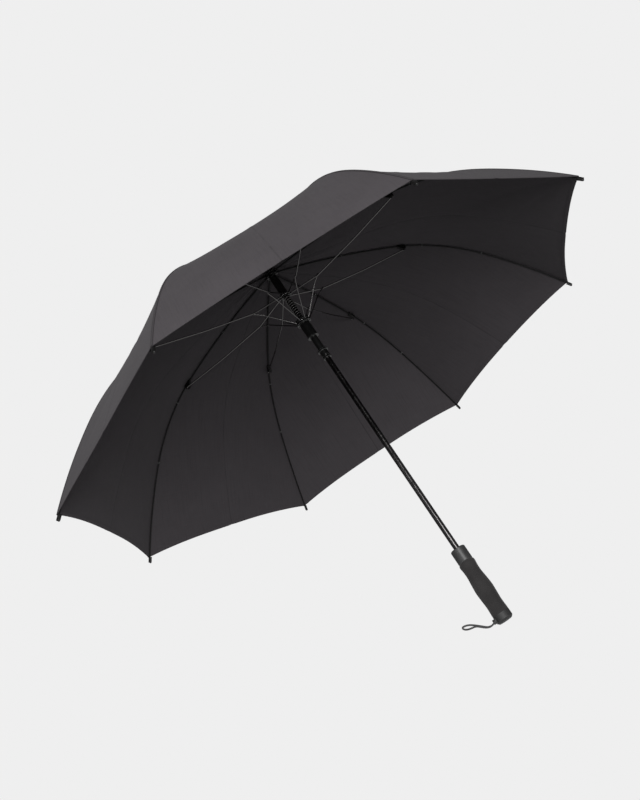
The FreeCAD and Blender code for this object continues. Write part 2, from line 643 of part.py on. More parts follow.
def bent(start, end, leaving, arriving):
    """A smooth cubic between two points with given directions."""
    pull = (end - start).Length * BEND_PULL
    curve = Part.BezierCurve()
    curve.setPoles([start, start + leaving * pull, end - arriving * pull, end])
    return curve.toShape()


def wrist_cord():
    """Cord through the end cap's lug, its ends butted in the hole: a neck, then a loop."""
    gap = size("cord_gap")
    strand = size("cord_strand")
    reach = size("cord_reach")
    loop = size("cord_loop_r")
    neck = size("cord_neck")
    loop_at = size("cord_loop_at")
    round_r = size("cord_bend_r")
    corner = gap - round_r
    bulge = 1 - DIAGONAL
    join = size("cord_join")
    side = [
        Part.makeLine(V(0, join, 0), V(0, corner, 0)),
        Part.Arc(V(0, corner, 0), V(-round_r * bulge, gap - round_r * bulge, 0),
                 V(-round_r, gap, 0)).toShape(),
        bent(V(-round_r, gap, 0), V(-neck, strand, 0), V(-1, 0, 0), V(-1, 0, 0)),
        Part.makeLine(V(-neck, strand, 0), V(-loop_at, strand, 0)),
        bent(V(-loop_at, strand, 0), V(loop - reach, loop, 0), V(-1, 0, 0), V(-1, 0, 0)),
        Part.Arc(V(loop - reach, loop, 0), V(loop * bulge - reach, loop * DIAGONAL, 0),
                 V(-reach, 0, 0)).toShape()]
    other_side = [edge.mirror(V(0, 0, 0), V(0, 1, 0)) for edge in side]
    cord_path = Part.Wire(Part.__sortEdges__(side + other_side))
    section = Part.Wire(Part.makeCircle(size("cord_r"), V(0, join, 0), V(0, 1, 0)))
    cord = doc.addObject("Part::Feature", "wrist_cord")
    cord.Shape = cord_path.makePipeShell([section], True, False)
    rise = FreeCAD.Rotation(V(0, 1, 0), size("cord_rise"))
    place = V(-size("lug_hole_at"), 0, size("lug_hole_up"))
    cord.Placement = FreeCAD.Placement(place, rise)


def build():
    shaft()
    notch_pin()
    notch()
    ring("notch_wire", "rib_pivot_r", "rib_pivot_up")
    ferrule()
    upper_runner()
    ring("upper_runner_wire", "upper_ring_r", "upper_pivot_up")
    lower_runner()
    ring("lower_runner_wire", "lower_ring_r", "lower_pivot_up")
    coil("opening_spring", "spring_r", "spring_wire_r", "spring_bottom", "spring_top",
         "spring_pitch")
    for number in range(1, RIBS + 1):
        rib_inner(number)
        rib_outer(number)
        stretcher(number)
        strut(number)
        gore(number)
    handle()
    end_cap()
    collar()
    push_button()
    return_spring()
    wrist_cord()
    doc.recompute()


def pieces():
    """The finished sub-parts: every solid object that no other object is built from."""
    kinds = ("PartDesign::Body", "Part::Feature", "Part::Compound")
    used = {part.Name for whole in doc.Objects if whole.TypeId == "Part::Compound"
            for part in whole.Links}
    return [o for o in doc.Objects if o.TypeId in kinds and o.Name not in used]


def write_parts():
    for item in doc.Objects:
        if "Invalid" in item.State or "Error" in item.State:
            raise RuntimeError(f"{item.Name} failed: {item.State}")
    os.makedirs("parts", exist_ok=True)
    for piece in pieces():
        if piece.Shape.isNull() or not piece.Shape.isValid() or not piece.Shape.Solids:
            raise RuntimeError(f"{piece.Label} has no valid solid")
        piece.Shape.exportStep(f"parts/{piece.Label}.step")


build()
write_parts()
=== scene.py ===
import json
import math
import bpy
import numpy as np
from mathutils import Matrix, Vector

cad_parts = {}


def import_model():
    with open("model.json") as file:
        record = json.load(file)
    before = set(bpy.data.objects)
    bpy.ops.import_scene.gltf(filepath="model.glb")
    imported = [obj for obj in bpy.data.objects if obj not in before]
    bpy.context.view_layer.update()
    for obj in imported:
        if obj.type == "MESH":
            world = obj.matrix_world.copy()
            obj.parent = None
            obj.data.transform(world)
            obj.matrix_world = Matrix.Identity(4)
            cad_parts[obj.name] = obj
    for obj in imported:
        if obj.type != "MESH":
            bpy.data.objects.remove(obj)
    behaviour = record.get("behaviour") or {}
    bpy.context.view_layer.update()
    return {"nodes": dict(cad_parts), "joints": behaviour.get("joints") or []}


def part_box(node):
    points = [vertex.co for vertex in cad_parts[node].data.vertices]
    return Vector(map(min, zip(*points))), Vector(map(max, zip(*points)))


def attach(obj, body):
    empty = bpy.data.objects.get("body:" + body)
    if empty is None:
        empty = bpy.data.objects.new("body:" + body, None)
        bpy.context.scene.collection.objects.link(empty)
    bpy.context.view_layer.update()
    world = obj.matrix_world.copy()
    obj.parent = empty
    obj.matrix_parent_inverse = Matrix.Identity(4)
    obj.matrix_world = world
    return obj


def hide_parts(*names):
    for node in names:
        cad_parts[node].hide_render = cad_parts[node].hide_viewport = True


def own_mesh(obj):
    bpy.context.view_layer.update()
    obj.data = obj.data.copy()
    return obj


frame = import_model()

NODES = frame["nodes"]
JOINTS = {joint["name"]: joint for joint in frame["joints"]}
MM = 0.001
RIBS = 8
STEP = 2 * math.pi / RIBS


# ---------------------------------------------------------------- places from the frame

def node_points(name):
    return np.array([v.co for v in NODES[name].data.vertices], float)


def canopy_profile():
    """(radius, height) points under the canopy along rib 1, from the CAD panel's edge."""
    co = node_points("gore_1")
    edge = co[np.abs(co[:, 1]) < 1e-5]
    line = []
    for radius in np.unique(np.round(edge[:, 0], 6)):
        heights = edge[np.abs(edge[:, 0] - radius) < 2e-6][:, 2]
        if abs(heights.max() - heights.min() - 1.0 * MM) < 2e-5:
            line.append((radius, heights.min()))
    return np.array(line)


def natural_spline(xs, ys):
    """Second derivatives of the natural cubic spline through (xs, ys)."""
    n = len(xs)
    gaps = np.diff(xs)
    system, right = np.eye(n), np.zeros(n)
    for i in range(1, n - 1):
        system[i, i - 1:i + 2] = gaps[i - 1], 2 * (gaps[i - 1] + gaps[i]), gaps[i]
        right[i] = 6 * ((ys[i + 1] - ys[i]) / gaps[i] - (ys[i] - ys[i - 1]) / gaps[i - 1])
    return np.linalg.solve(system, right)


class Spline:
    """A smooth value over a growing parameter."""

    def __init__(self, xs, ys):
        self.xs, self.ys = np.array(xs, float), np.array(ys, float)
        self.bends = natural_spline(self.xs, self.ys)

    def __call__(self, x):
        x = np.clip(x, self.xs[0], self.xs[-1])
        i = np.clip(np.searchsorted(self.xs, x) - 1, 0, len(self.xs) - 2)
        gap = self.xs[i + 1] - self.xs[i]
        a, b = (self.xs[i + 1] - x) / gap, (x - self.xs[i]) / gap
        bend = (a ** 3 - a) * self.bends[i] + (b ** 3 - b) * self.bends[i + 1]
        return a * self.ys[i] + b * self.ys[i + 1] + bend * gap ** 2 / 6


PROFILE = canopy_profile()
LENGTHS = np.concatenate([[0], np.cumsum(np.hypot(*np.diff(PROFILE, axis=0).T))])
CANOPY_LENGTH = LENGTHS[-1]
PROFILE_R = Spline(LENGTHS, PROFILE[:, 0])
PROFILE_Z = Spline(LENGTHS, PROFILE[:, 1])

KNEE = Vector(JOINTS["rib_1_flex"]["pos_m"])
KNEE_AT = float(np.interp(KNEE.x, PROFILE[:, 0], LENGTHS))
CROWN_AT, SHOULDER_AT, TOP_AT = np.interp((0.026, 0.052, 0.115), PROFILE[:, 0],
                                          LENGTHS).tolist()


# ---------------------------------------------------------------- mesh helpers

def new_object(name, verts, faces, material, sharp):
    """A smooth-shaded object; edges steeper than sharp degrees stay crisp."""
    mesh = bpy.data.meshes.new(name)
    mesh.from_pydata([tuple(v) for v in verts], [], faces)
    mesh.update()
    mesh.polygons.foreach_set("use_smooth", [True] * len(mesh.polygons))
    mesh.set_sharp_from_angle(angle=math.radians(sharp))
    mesh.materials.append(material)
    obj = bpy.data.objects.new(name, mesh)
    bpy.context.scene.collection.objects.link(obj)
    return obj


def set_uvs(obj, uv_of_vertex):
    layer = obj.data.uv_layers.new(name="Cloth")
    for loop in obj.data.loops:
        layer.data[loop.index].uv = uv_of_vertex[loop.vertex_index]


def grid_faces(rows, cols, start=0, flip=False):
    faces = []
    for i in range(rows - 1):
        for j in range(cols - 1):
            a = start + i * cols + j
            quad = (a, a + 1, a + cols + 1, a + cols)
            faces.append(quad[::-1] if flip else quad)
    return faces


def grid_normals(points):
    """Unit normals of a grid of points, rows by columns by 3."""
    along = np.gradient(points, axis=0)
    across = np.gradient(points, axis=1)
    normals = np.cross(along, across)
    return normals / np.maximum(np.linalg.norm(normals, axis=2, keepdims=True), 1e-12)


def rim_faces(rows, cols, under):
    """Walls that close a sheet's upper grid against its lower one."""
    loop = list(range(cols))
    loop += [i * cols + cols - 1 for i in range(1, rows)]
    loop += [(rows - 1) * cols + j for j in range(cols - 2, -1, -1)]
    loop += [i * cols for i in range(rows - 2, 0, -1)]
    return [(a, a + under, b + under, b) for a, b in zip(loop, loop[1:] + loop[:1])]


def sheet(name, points, normals, thick, material, uvs):
    """A thin closed sheet: the grid, and the same grid moved inward by its thickness."""
    rows, cols = points.shape[:2]
    count = rows * cols
    lower = points - normals * thick
    verts = np.concatenate([points.reshape(-1, 3), lower.reshape(-1, 3)])
    faces = grid_faces(rows, cols) + grid_faces(rows, cols, count, flip=True)
    faces += rim_faces(rows, cols, count)
    obj = new_object(name, verts, faces, material, sharp=50)
    flat = uvs.reshape(-1, 2)
    set_uvs(obj, np.concatenate([flat, flat]))
    return obj


def lathe(name, outline, material, segments):
    """A turned shape about the Z axis from (radius, height) points; ends at radius 0 close."""
    verts, rings = [], []
    for radius, height in outline:
        if radius < 1e-7:
            rings.append([len(verts)])
            verts.append((0, 0, height))
        else:
            rings.append(list(range(len(verts), len(verts) + segments)))
            for k in range(segments):
                a = 2 * math.pi * k / segments
                verts.append((radius * math.cos(a), radius * math.sin(a), height))
    faces = []
    for low, high in zip(rings, rings[1:]):
        for k in range(segments):
            n = (k + 1) % segments
            if len(low) == 1:
                faces.append((low[0], high[n], high[k]))
            elif len(high) == 1:
                faces.append((low[k], low[n], high[0]))
            else:
                faces.append((low[k], low[n], high[n], high[k]))
    return new_object(name, verts, faces, material, sharp=35)


def tube(centres, radii, sides, closed):
    """Vertices and faces of a tube along centres, with turn-free frames."""
    centres = np.array(centres, float)
    count = len(centres)
    if closed:
        tangents = np.roll(centres, -1, 0) - np.roll(centres, 1, 0)
    else:
        tangents = np.gradient(centres, axis=0)
    tangents /= np.linalg.norm(tangents, axis=1, keepdims=True)
    side = np.cross(tangents[0], (0.31, 0.17, 0.93))
    side /= np.linalg.norm(side)
    verts, faces = [], []
    for i in range(count):
        side = side - tangents[i] * side.dot(tangents[i])
        side /= np.linalg.norm(side)
        other = np.cross(tangents[i], side)
        for k in range(sides):
            a = 2 * math.pi * k / sides
            verts.append(centres[i] + (side * math.cos(a) + other * math.sin(a)) * radii[i])
    last = count if closed else count - 1
    for i in range(last):
        for k in range(sides):
            a, b = i * sides + k, i * sides + (k + 1) % sides
            c, d = (a + sides) % (count * sides), (b + sides) % (count * sides)
            faces.append((a, b, d, c))
    if not closed:
        faces.append(tuple(range(sides - 1, -1, -1)))
        faces.append(tuple(range((count - 1) * sides, count * sides)))
    return verts, faces


def tubes_object(name, runs, material):
    """One object from several tubes, each (centres, radii, sides, closed)."""
    verts, faces = [], []
    for centres, radii, sides, closed in runs:
        more, quads = tube(centres, radii, sides, closed)
        start = len(verts)
        verts += [tuple(v) for v in more]
        faces += [tuple(start + i for i in quad) for quad in quads]
    return new_object(name, verts, faces, material, sharp=60)


# ---------------------------------------------------------------- materials

class Nodes:
    """A short way to write a material's node tree."""

    def __init__(self, name):
        self.material = bpy.data.materials.new(name)
        self.material.use_nodes = True
        self.tree = self.material.node_tree
        self.shader = self.tree.nodes["Principled BSDF"]

    def add(self, kind, links=None, **values):
        node = self.tree.nodes.new(kind)
        for key, value in values.items():
            setattr(node, key, value)
        for socket, source in (links or {}).items():
            self.feed(node, socket, source)
        return node

    def feed(self, node, socket, source):
        target = node.inputs[socket]
        if isinstance(source, bpy.types.NodeSocket):
            self.tree.links.new(source, target)
        else:
            target.default_value = source

    def place(self):
        """Object coordinates, which stay with the piece."""
        return self.add("ShaderNodeTexCoord").outputs["Object"]

    def noise(self, vector, scale, detail=3.0, rough=0.5):
        links = {"Vector": vector, "Scale": scale, "Detail": detail, "Roughness": rough}
        return self.add("ShaderNodeTexNoise", links).outputs["Fac"]

    def ramp(self, value, low, high, start=0.0, end=1.0):
        links = {"Value": value, "From Min": start, "From Max": end, "To Min": low,
                 "To Max": high}
        return self.add("ShaderNodeMapRange", links).outputs["Result"]

    def mix(self, factor, first, second):
        node = self.add("ShaderNodeMix", data_type="RGBA")
        self.feed(node, 0, factor)
        self.feed(node, 6, first)
        self.feed(node, 7, second)
        return node.outputs[2]

    def maths(self, operation, first, second=0.0):
        node = self.add("ShaderNodeMath", operation=operation)
        self.feed(node, 0, first)
        self.feed(node, 1, second)
        return node.outputs[0]

    def rounded(self, radius):
        """Normals that round off the sharp edges, and a mask of those edges."""
        bevel = self.add("ShaderNodeBevel", {"Radius": radius}, samples=6)
        flat = self.add("ShaderNodeNewGeometry").outputs["Normal"]
        same = self.add("ShaderNodeVectorMath", {0: bevel.outputs["Normal"], 1: flat},
                        operation="DOT_PRODUCT").outputs["Value"]
        return bevel.outputs["Normal"], self.ramp(same, 1, 0, 0.86, 0.985)

    def bump(self, height, strength, distance, below=None):
        links = {"Height": height, "Strength": strength, "Distance": distance}
        if below is not None:
            links["Normal"] = below
        return self.add("ShaderNodeBump", links).outputs["Normal"]

    def surface(self, **values):
        for key, value in values.items():
            self.feed(self.shader, key.replace("_", " "), value)
        return self.material


PAINT_TINT = (1.03, 0.99, 0.99)
CLOTH_TINT = (1.05, 0.95, 1.025)
THREAD_TINT = (1.05, 0.95, 1.02)
FOAM_TINT = (1.06, 0.98, 0.98)
THREAD_PITCH = 0.42 * MM
STITCH_PITCH = 2.6 * MM
STITCH_ROW = 1.5 * MM      # from the middle of a seam to each of its two rows of stitches


def grey(level, tint=(1.0, 1.0, 1.0)):
    return (level * tint[0], level * tint[1], level * tint[2], 1.0)


def canopy_cloth():
    """Black pongee: plain weave, slight slub, a soft sheen and painted shade along the creases at
    mid-gore.
    """
    n = Nodes("canopy_cloth")
    uv = n.add("ShaderNodeUVMap", uv_map="Cloth").outputs["UV"]
    place = n.place()
    split = n.add("ShaderNodeSeparateXYZ", {"Vector": uv})
    threads = 2 * math.pi / THREAD_PITCH
    warp = n.maths("SINE", n.maths("MULTIPLY", split.outputs["X"], threads))
    weft = n.maths("SINE", n.maths("MULTIPLY", split.outputs["Y"], threads))
    weave = n.maths("MULTIPLY", warp, weft)
    slub = n.noise(n.add("ShaderNodeMapping", {"Vector": uv, "Scale": (900, 26, 1)})
                   .outputs["Vector"], 1.0, 2.0)
    cross = n.noise(n.add("ShaderNodeMapping", {"Vector": uv, "Scale": (26, 900, 1)})
                    .outputs["Vector"], 1.0, 2.0)
    cloud = n.noise(place, 7.0, 4.0, 0.6)
    crumple = n.noise(place, 34.0, 3.0, 0.45)
    tone = n.mix(n.ramp(cloud, 0, 1, 0.3, 0.7), grey(0.044, CLOTH_TINT), grey(0.054, CLOTH_TINT))
    thick_threads = n.maths("ADD", slub, cross)
    tone = n.mix(n.ramp(thick_threads, 0, 0.5, 0.7, 1.3), tone, grey(0.062, THREAD_TINT))
    streak = n.noise(n.add("ShaderNodeMapping", {"Vector": uv, "Scale": (420, 9, 1)})
                     .outputs["Vector"], 1.0, 3.0, 0.6)
    tone = n.mix(n.ramp(streak, 0, 0.4, 0.5, 0.75), tone, grey(0.030, (1.06, 0.94, 1.01)))
    # painted shade: the cloth is darkened along a narrow line where its across coordinate is near
    # zero, along the creases at mid-gore
    crease_shade = n.ramp(n.maths("ABSOLUTE", split.outputs["X"]), 0.65, 0, 0.4 * MM, 1.9 * MM)
    crease_shade = n.maths("MULTIPLY", crease_shade, n.ramp(n.noise(place, 16.0, 3.0), 0.2, 1, 0.35, 0.65))
    tone = n.mix(crease_shade, tone, grey(0.012))
    fine = n.bump(n.ramp(weave, 0, 1, -1, 1), 0.35, 0.1 * MM)
    threaded = n.bump(thick_threads, 0.25, 0.25 * MM, fine)
    normal = n.bump(crumple, 0.30, 2.2 * MM, threaded)
    return n.surface(Base_Color=tone, Roughness=n.ramp(cloud, 0.62, 0.74), Normal=normal,
                     Sheen_Weight=0.04, Sheen_Roughness=0.42, Sheen_Tint=grey(0.9),
                     Specular_IOR_Level=0.14)


def seam_tape():
    """Felled seam with two rows of lock stitches."""
    n = Nodes("seam_tape")
    uv = n.add("ShaderNodeUVMap", uv_map="Cloth").outputs["UV"]
    split = n.add("ShaderNodeSeparateXYZ", {"Vector": uv})
    stitch = n.maths("SINE", n.maths("MULTIPLY", split.outputs["Y"], 2 * math.pi / STITCH_PITCH))
    row = n.maths("ABSOLUTE", n.maths("SUBTRACT", n.maths("ABSOLUTE", split.outputs["X"]),
                                      STITCH_ROW))
    on_row = n.ramp(row, 1, 0, 0.15 * MM, 0.45 * MM)
    thread = n.maths("MULTIPLY", on_row, n.ramp(stitch, 0, 1, -0.2, 0.3))
    tone = n.mix(thread, grey(0.034, THREAD_TINT), grey(0.072, (1.04, 0.96, 1.0)))
    grain = n.noise(n.place(), 900.0, 2.0)
    height = n.maths("ADD", thread, n.maths("MULTIPLY", grain, 0.25))
    return n.surface(Base_Color=tone, Roughness=0.72, Normal=n.bump(height, 0.7, 0.4 * MM),
                     Sheen_Weight=0.03, Sheen_Roughness=0.4, Specular_IOR_Level=0.14)


def painted(name, level, rough, wear, metal=0.0, shine=0.5):
    """Black paint on metal: orange peel, faint scratches and brighter rubbed patches."""
    n = Nodes(name)
    place = n.place()
    peel = n.noise(place, 1400.0, 2.0)
    rub = n.noise(place, 46.0, 5.0, 0.62)
    streak = n.noise(place, 210.0, 3.0)
    tone = n.mix(n.ramp(rub, 0, wear, 0.52, 0.78), grey(level, PAINT_TINT),
                 grey(level * 2.6, PAINT_TINT))
    rough_map = n.ramp(n.maths("ADD", rub, streak), rough - 0.07, rough + 0.10, 0.7, 1.3)
    normal = n.bump(peel, 0.05, 0.05 * MM, n.bump(streak, 0.04, 0.1 * MM))
    return n.surface(Base_Color=tone, Roughness=rough_map, Normal=normal, Metallic=metal,
                     Specular_IOR_Level=shine)


def moulded(name, level, rough, edge_wear_and_highlight):
    """Spark-eroded black plastic with softened edges painted a lighter grey, partly as wear and
    partly as a painted highlight on the rims.
    """
    n = Nodes(name)
    place = n.place()
    grain = n.noise(place, 2600.0, 2.0, 0.6)
    cloud = n.noise(place, 60.0, 3.0)
    round_normal, edge = n.rounded(0.7 * MM)
    tone = n.mix(n.ramp(cloud, 0, 1, 0.35, 0.7), grey(level), grey(level * 1.35))
    # edges painted lighter grey: partly wear, partly a painted highlight along the rims
    tone = n.mix(n.maths("MULTIPLY", edge, n.ramp(cloud, 0.5, 1, 0.3, 0.6)), tone, grey(edge_wear_and_highlight))
    normal = n.bump(grain, 0.22, 0.15 * MM, round_normal)
    return n.surface(Base_Color=tone, Roughness=n.ramp(cloud, rough - 0.05, rough + 0.06),
                     Normal=normal)


def foam():
    """Closed-cell EVA foam: fine pits, handled patches and a dusty bloom."""
    n = Nodes("eva_foam")
    place = n.place()
    cells = n.add("ShaderNodeTexVoronoi", {"Vector": place, "Scale": 1500.0})
    coarse = n.noise(place, 420.0, 3.0, 0.6)
    hand = n.noise(place, 28.0, 4.0, 0.55)
    tone = n.mix(n.ramp(hand, 0, 1, 0.35, 0.7), grey(0.015, FOAM_TINT), grey(0.028, FOAM_TINT))
    height = n.maths("ADD", n.ramp(cells.outputs["Distance"], 0, 1, 0, 0.6), coarse)
    return n.surface(Base_Color=tone, Roughness=n.ramp(hand, 0.78, 0.9),
                     Normal=n.bump(height, 0.45, 0.35 * MM), Sheen_Weight=0.12,
                     Specular_IOR_Level=0.3)


def braided_cord():
    """Matt black cord with a fuzzy surface."""
    n = Nodes("braided_cord")
    place = n.place()
    fuzz = n.noise(place, 2400.0, 3.0, 0.7)
    tone = n.mix(n.ramp(fuzz, 0, 1, 0.35, 0.7), grey(0.02), grey(0.06))
    return n.surface(Base_Color=tone, Roughness=0.85, Normal=n.bump(fuzz, 0.5, 0.2 * MM),
                     Sheen_Weight=0.3)


def drawn_steel():
    """Bare steel with the fine lines of drawing."""
    n = Nodes("drawn_steel")
    place = n.place()
    lines = n.noise(n.add("ShaderNodeMapping", {"Vector": place, "Scale": (900, 900, 60)})
                    .outputs["Vector"], 1.0, 3.0)
    tone = n.mix(lines, grey(0.42), grey(0.6, (1.0, 0.99, 0.97)))
    return n.surface(Base_Color=tone, Metallic=1.0, Roughness=n.ramp(lines, 0.24, 0.42),
                     Normal=n.bump(lines, 0.08, 0.1 * MM))


CLOTH = canopy_cloth()
SEAM = seam_tape()
TUBE_PAINT = painted("shaft_paint", 0.080, 0.20, 0.15, metal=1.0)
RIB_PAINT = painted("rib_paint", 0.006, 0.45, 0.2, shine=0.12)
WIRE_PAINT = painted("wire_paint", 0.085, 0.13, 0.15, metal=1.0)
SPRING_BLACK = painted("spring_black", 0.085, 0.22, 0.15, metal=1.0)
RUNNER_PLASTIC = moulded("runner_plastic", 0.005, 0.30, 0.16)
COLLAR_PLASTIC = moulded("collar_plastic", 0.026, 0.44, 0.06)
CAP_PLASTIC = moulded("cap_plastic", 0.012, 0.62, 0.05)
BUTTON_PLASTIC = moulded("button_plastic", 0.020, 0.28, 0.06)
TIP_PAINT = painted("tip_paint", 0.006, 0.34, 0.3, shine=0.25)
FOAM = foam()
CORD = braided_cord()
STEEL = drawn_steel()


# ---------------------------------------------------------------- canopy

GORE_SAG = 9 * MM
HEM_SHORT = 0.026          # how much sooner the hem ends mid-way between two ribs
CLOTH_THICK = 0.45 * MM
CLOTH_LIFT = 0.55 * MM     # the cloth lies in the middle of the CAD panel's thickness
HALF_COLS = 26             # columns of a panel's grid on each side of its rib
HEM_WIDTH, HEM_THICK = 9 * MM, 0.5 * MM
SEAM_HALF, SEAM_HIGH, SEAM_THICK = 2.6 * MM, 0.62 * MM, 0.6 * MM
HAIR = 0.02 * MM           # a gap that keeps two layers of cloth apart
rng = np.random.default_rng(8)
GORE_PHASE = rng.uniform(0, 2 * math.pi, (RIBS, 6))
GORE_SIZE = rng.uniform(0.6, 1.3, (RIBS, 6))


def wrinkle(gore, at, across):
    """Height of small folds on a gore; across runs -1 to 1 and the folds fade at its ribs."""
    share = at / CANOPY_LENGTH
    fade = 1 - across ** 2
    phase, size = GORE_PHASE[gore], GORE_SIZE[gore]
    near_hub = np.exp(-share / 0.16)
    radial = np.cos(4.2 * across * math.pi + phase[0]) + 0.6 * np.cos(9.7 * across + phase[1])
    radial = near_hub * radial * 0.55 * MM * size[0]
    crease = np.exp(-(across / 0.02) ** 2) * 0.8 * MM * np.clip(share * 3, 0, 1)
    crease = crease * (1 + 0.4 * np.sin(share * 40 + phase[1]))
    aside = (1 - np.abs(across)) * PROFILE_R(at) * math.tan(STEP / 2)
    from_tip = np.hypot(aside, CANOPY_LENGTH - at)
    angle = np.arctan2(CANOPY_LENGTH - at, aside + 1e-6)
    pull = np.exp(-(np.sin(7 * angle + phase[2]) / 0.3) ** 2) * np.clip(aside / (14 * MM), 0, 1)
    pull = pull * 0.014 * from_tip * np.exp(-(from_tip / 0.17) ** 2) * size[2]
    drift = np.sin(share * 11 + phase[3] + 2.2 * across) * 1.1 * MM * size[3]
    drift = drift * np.sin(math.pi * np.clip(share, 0, 1))
    soft = np.sin(share * 27 + 5 * across + phase[4]) * 0.35 * MM * size[4]
    knee = np.exp(-((at - KNEE_AT) / 0.05) ** 2) * (1 - np.abs(across)) ** 0.5
    return fade * (radial + crease + drift + soft - 1.2 * MM * knee) + pull


def pucker(gore, at, reach):
    """Stitch puckers beside a seam, reach metres away from it."""
    fade = np.exp(-(reach / (14 * MM)) ** 2) * (reach > 1e-6)
    wave = np.sin(at * 2 * math.pi / (23 * MM) + GORE_PHASE[gore][5])
    return fade * wave * 0.35 * MM * np.minimum(1, reach / (6 * MM))


def canopy_points(rib, at, lean):
    """Points of the cloth; at is metres from the crown, lean runs -1 to 1 between mid-gores."""
    lean = np.asarray(lean, float)
    w = np.abs(lean)
    gore = (rib if lean.mean() >= 0 else rib - 1) % RIBS
    curve = w * (2 - w)
    scallop = 1 - np.clip(1 - w, 0, 1) ** 2.4
    share = np.clip(at / CANOPY_LENGTH, 0, 1)
    reach = at * (1 - HEM_SHORT * scallop * share ** 3)
    radius, height = PROFILE_R(reach), PROFILE_Z(reach)
    here = rib * STEP
    there = here + np.sign(lean) * STEP
    x = radius * ((1 - w / 2) * math.cos(here) + w / 2 * np.cos(there))
    y = radius * ((1 - w / 2) * math.sin(here) + w / 2 * np.sin(there))
    sag = GORE_SAG * curve * np.sin(math.pi * share ** 0.8 * 0.78)
    across = np.where(lean >= 0, w - 1, 1 - w)
    relief = wrinkle(gore, at, across)
    relief = relief + pucker(gore, at, radius * math.tan(STEP / 2) * w)
    z = height + CLOTH_LIFT - sag + relief * np.clip(w * 12, 0, 1)
    return np.stack([x, y, z], axis=-1)


def canopy_grid(rib, start, end, rows):
    """Grid of a rib-centred panel, from mid-gore to mid-gore, and its cloth coordinates."""
    ats = np.linspace(start, end, rows)
    leans = np.linspace(0, 1, HALF_COLS + 1) ** 1.15
    right = np.stack([canopy_points(rib, ats, np.full(rows, v)) for v in leans], axis=1)
    left = np.stack([canopy_points(rib, ats, np.full(rows, -v - 1e-9)) for v in leans], axis=1)
    grid = np.concatenate([left[:, :0:-1], right], axis=1)
    signed = np.concatenate([-leans[:0:-1], leans])
    radius = PROFILE_R(ats)[:, None]
    across = radius * math.tan(STEP / 2) * (np.sign(signed) - signed)[None, :]
    uvs = np.stack([across, np.broadcast_to(ats[:, None], across.shape)], axis=-1)
    return grid, uvs


def outward(grid):
    """The grid's normals, turned to the upper side of the canopy."""
    normals = grid_normals(grid)
    return np.where(normals[..., 2:3] < 0, -normals, normals)


def tangent(rib):
    """The level direction across a rib."""
    return (-math.sin(rib * STEP), math.cos(rib * STEP), 0)


def canopy_piece(name, rib, body, start, end, rows, hem=False):
    """A band of a rib's panel."""
    grid, uvs = canopy_grid(rib, start, end, rows)
    if outward(grid)[2, 2] @ grid_normals(grid)[2, 2] < 0:
        grid, uvs = grid[:, ::-1], uvs[:, ::-1]
    piece = sheet(name, grid, outward(grid), CLOTH_THICK, CLOTH, uvs)
    if hem:
        join(piece, [hem_fold(rib)])
    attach(piece, body)
    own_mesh(piece)
    return piece


def join(target, others):
    bpy.ops.object.select_all(action="DESELECT")
    for obj in [target] + others:
        obj.select_set(True)
    bpy.context.view_layer.objects.active = target
    bpy.ops.object.join()


def hem_fold(rib):
    """The turned-up edge of the cloth: a rounded narrow band under the hem."""
    rows = 7
    edge, uvs = canopy_grid(rib, CANOPY_LENGTH - HEM_WIDTH, CANOPY_LENGTH, rows)
    up = outward(edge)
    bulge = np.sin(np.linspace(0, math.pi, rows))[:, None, None] * 0.25 * MM
    band = edge - up * (CLOTH_THICK + HAIR)
    if outward(band)[2, 2] @ grid_normals(band)[2, 2] < 0:
        band, up, uvs = band[:, ::-1], up[:, ::-1], uvs[:, ::-1]
    return sheet(f"hem_fold_{rib + 1}", band, up, HEM_THICK + bulge, CLOTH, uvs)


def seam_piece(name, rib, body, start, end, rows):
    """The raised felled seam that runs over a rib on the outside of the cloth."""
    ats = np.linspace(start, end, rows)
    centre = canopy_points(rib, ats, np.zeros(rows))
    side = np.array(tangent(rib))
    along = np.gradient(centre, axis=0)
    along /= np.linalg.norm(along, axis=1, keepdims=True)
    up = np.cross(along, side)
    up = np.where(up[:, 2:3] < 0, -up, up)
    offsets = np.linspace(-1, 1, 9)
    half = SEAM_HALF * np.clip(ats / 0.06, 0.35, 1)
    aside = half[:, None] * offsets[None]
    height = SEAM_HIGH * (1 - np.abs(offsets) ** 4) + HAIR
    points = (centre[:, None] + side[None, None] * aside[..., None]
              + up[:, None] * height[None, :, None])
    uvs = np.stack([aside, np.broadcast_to(ats[:, None], aside.shape)], axis=-1)
    normals = np.broadcast_to(up[:, None], points.shape)
    if grid_normals(points)[2, 4] @ normals[2, 4] < 0:
        points, uvs = points[:, ::-1], uvs[:, ::-1]
    piece = sheet(name, points, normals, SEAM_THICK, SEAM, uvs)
    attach(piece, body)


def canopy():
    """Eight rib-centred panels, each in bands."""
    for rib in range(RIBS):
        number = rib + 1
        inner, outer = f"rib_inner_{number}", f"rib_outer_{number}"
        canopy_piece(f"canopy_crown_{number}", rib, inner, 0, CROWN_AT, 10)
        canopy_piece(f"canopy_shoulder_{number}", rib, inner, CROWN_AT, SHOULDER_AT, 10)
        canopy_piece(f"canopy_top_{number}", rib, inner, SHOULDER_AT, TOP_AT, 18)
        canopy_piece(f"canopy_middle_{number}", rib, inner, TOP_AT, KNEE_AT, 42)
        skirt = canopy_piece(f"canopy_skirt_{number}", rib, outer, KNEE_AT, CANOPY_LENGTH, 84,
                             hem=True)
        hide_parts(f"gore_{number}")
        seam_piece(f"seam_inner_{number}", rib, inner, 6 * MM, KNEE_AT, 90)
        seam_piece(f"seam_outer_{number}", rib, outer, KNEE_AT, CANOPY_LENGTH, 120)


# ---------------------------------------------------------------- ribs' small soft parts

